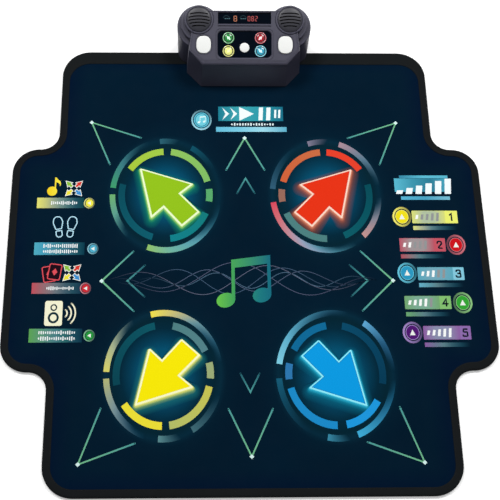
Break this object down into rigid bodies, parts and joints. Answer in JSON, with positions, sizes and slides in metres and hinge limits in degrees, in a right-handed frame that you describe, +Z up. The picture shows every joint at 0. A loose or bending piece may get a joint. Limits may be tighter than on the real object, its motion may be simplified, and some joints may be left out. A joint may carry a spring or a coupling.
{
  "type": "dance mat controller",
  "caption": "Soft cross-shaped dance mat with a tape edge, round arrow zones and side touch zones, and a sloped control box with speaker pods, display, lights and keys on its back edge.",
  "frame": {"origin": "on the floor under the middle of the mat's outline", "axes": "+Z up from the floor, +Y from the player's edge towards the control box, +X to the player's right"},
  "size_m": [0.9, 0.9483, 0.1115],
  "materials": {
    "mat_print": "satin print",
    "binding_tape": "matte",
    "under_fabric": "matte with grip dots",
    "foam": "matte",
    "contact_film": "satin",
    "case_grey": "fine satin",
    "case_black": "fine satin",
    "grille": "satin",
    "dark_window": "polished",
    "glossy_panel": "polished",
    "lens_green": "clear",
    "lens_red": "clear",
    "lens_yellow": "clear",
    "lens_blue": "clear",
    "key_white": "satin",
    "membrane_grey": "matte",
    "speaker_black": "matte",
    "board_green": "satin",
    "socket_ivory": "satin",
    "tail_amber": "satin",
    "screw_steel": "zinc plated",
    "contact_nickel": "nickel plated",
    "cell_wrap": "printed wrap"
  },
  "bodies": {
    "mat_and_console": {"base_sheet": "under_fabric", "lower_contact_film": "contact_film", "foam_layer": "foam", "upper_contact_film": "contact_film", "top_sheet": "mat_print", "edge_binding": "binding_tape", "hem_bar": "case_black", "hem_screw_left": "screw_steel", "hem_screw_right": "screw_steel", "film_tail": "tail_amber", "tail_socket": "socket_ivory", "console_cover": "case_grey", "console_base": "case_black", "display_window": "dark_window", "button_overlay": "glossy_panel", "arrow_light_green": "lens_green", "arrow_light_red": "lens_red", "arrow_light_yellow": "lens_yellow", "arrow_light_blue": "lens_blue", "speaker_grille_left": "grille", "speaker_grille_right": "grille", "speaker_left": "speaker_black", "speaker_right": "speaker_black", "display_module": "speaker_black", "key_membrane": "membrane_grey", "main_board": "board_green", "case_screw_1": "screw_steel", "case_screw_2": "screw_steel", "case_screw_3": "screw_steel", "case_screw_4": "screw_steel", "battery_box": "case_black", "battery_cell_1": "cell_wrap", "battery_cell_2": "cell_wrap", "battery_cell_3": "cell_wrap", "battery_contact_1": "contact_nickel", "battery_contact_2": "contact_nickel", "battery_contact_3": "contact_nickel", "battery_contact_4": "contact_nickel", "power_switch_body": "screw_steel", "aux_socket": "case_black"},
    "step_pad_back_left": {"step_pad_back_left": "mat_print"},
    "step_pad_back_right": {"step_pad_back_right": "mat_print"},
    "step_pad_front_left": {"step_pad_front_left": "mat_print"},
    "step_pad_front_right": {"step_pad_front_right": "mat_print"},
    "start_pad": {"start_pad": "mat_print"},
    "mode_pad_1": {"mode_pad_1": "mat_print"},
    "mode_pad_2": {"mode_pad_2": "mat_print"},
    "mode_pad_3": {"mode_pad_3": "mat_print"},
    "mode_pad_4": {"mode_pad_4": "mat_print"},
    "level_pad_1": {"level_pad_1": "mat_print"},
    "level_pad_2": {"level_pad_2": "mat_print"},
    "level_pad_3": {"level_pad_3": "mat_print"},
    "level_pad_4": {"level_pad_4": "mat_print"},
    "level_pad_5": {"level_pad_5": "mat_print"},
    "left_key": {"left_key": "key_white"},
    "centre_key": {"centre_key": "key_white"},
    "right_key": {"right_key": "key_white"},
    "power_switch": {"power_switch_knob": "case_black"},
    "door": {"battery_door": "case_black", "door_screw": "screw_steel"}
  },
  "joints": [
    {"name": "step_pad_back_left_press", "type": "slide", "parent": "mat_and_console", "child": "step_pad_back_left", "axis": [0, 0, -1], "range_m": [0, 0.0012], "stiffness_N_per_m": 4000},
    {"name": "step_pad_back_right_press", "type": "slide", "parent": "mat_and_console", "child": "step_pad_back_right", "axis": [0, 0, -1], "range_m": [0, 0.0012], "stiffness_N_per_m": 4000},
    {"name": "step_pad_front_left_press", "type": "slide", "parent": "mat_and_console", "child": "step_pad_front_left", "axis": [0, 0, -1], "range_m": [0, 0.0012], "stiffness_N_per_m": 4000},
    {"name": "step_pad_front_right_press", "type": "slide", "parent": "mat_and_console", "child": "step_pad_front_right", "axis": [0, 0, -1], "range_m": [0, 0.0012], "stiffness_N_per_m": 4000},
    {"name": "start_pad_press", "type": "slide", "parent": "mat_and_console", "child": "start_pad", "axis": [0, 0, -1], "range_m": [0, 0.0012], "stiffness_N_per_m": 2500},
    {"name": "mode_pad_1_press", "type": "slide", "parent": "mat_and_console", "child": "mode_pad_1", "axis": [0, 0, -1], "range_m": [0, 0.0012], "stiffness_N_per_m": 2500},
    {"name": "mode_pad_2_press", "type": "slide", "parent": "mat_and_console", "child": "mode_pad_2", "axis": [0, 0, -1], "range_m": [0, 0.0012], "stiffness_N_per_m": 2500},
    {"name": "mode_pad_3_press", "type": "slide", "parent": "mat_and_console", "child": "mode_pad_3", "axis": [0, 0, -1], "range_m": [0, 0.0012], "stiffness_N_per_m": 2500},
    {"name": "mode_pad_4_press", "type": "slide", "parent": "mat_and_console", "child": "mode_pad_4", "axis": [0, 0, -1], "range_m": [0, 0.0012], "stiffness_N_per_m": 2500},
    {"name": "level_pad_1_press", "type": "slide", "parent": "mat_and_console", "child": "level_pad_1", "axis": [0, 0, -1], "range_m": [0, 0.0012], "stiffness_N_per_m": 2500},
    {"name": "level_pad_2_press", "type": "slide", "parent": "mat_and_console", "child": "level_pad_2", "axis": [0, 0, -1], "range_m": [0, 0.0012], "stiffness_N_per_m": 2500},
    {"name": "level_pad_3_press", "type": "slide", "parent": "mat_and_console", "child": "level_pad_3", "axis": [0, 0, -1], "range_m": [0, 0.0012], "stiffness_N_per_m": 2500},
    {"name": "level_pad_4_press", "type": "slide", "parent": "mat_and_console", "child": "level_pad_4", "axis": [0, 0, -1], "range_m": [0, 0.0012], "stiffness_N_per_m": 2500},
    {"name": "level_pad_5_press", "type": "slide", "parent": "mat_and_console", "child": "level_pad_5", "axis": [0, 0, -1], "range_m": [0, 0.0012], "stiffness_N_per_m": 2500},
    {"name": "left_key_press", "type": "slide", "parent": "mat_and_console", "child": "left_key", "axis": [0, 0.3697, -0.9291], "range_m": [0, 0.0012], "stiffness_N_per_m": 1500},
    {"name": "centre_key_press", "type": "slide", "parent": "mat_and_console", "child": "centre_key", "axis": [0, 0.3697, -0.9291], "range_m": [0, 0.0012], "stiffness_N_per_m": 1500},
    {"name": "right_key_press", "type": "slide", "parent": "mat_and_console", "child": "right_key", "axis": [0, 0.3697, -0.9291], "range_m": [0, 0.0012], "stiffness_N_per_m": 1500},
    {"name": "power_switch_slide", "type": "slide", "parent": "mat_and_console", "child": "power_switch", "axis": [1, 0, 0], "range_m": [0, 0.004]},
    {"name": "battery_door_hinge", "type": "hinge", "parent": "mat_and_console", "child": "door", "pos_m": [-0.003, 0.494, 0.0051], "axis": [-1, 0, 0], "range_deg": [0, 90]}
  ]
}
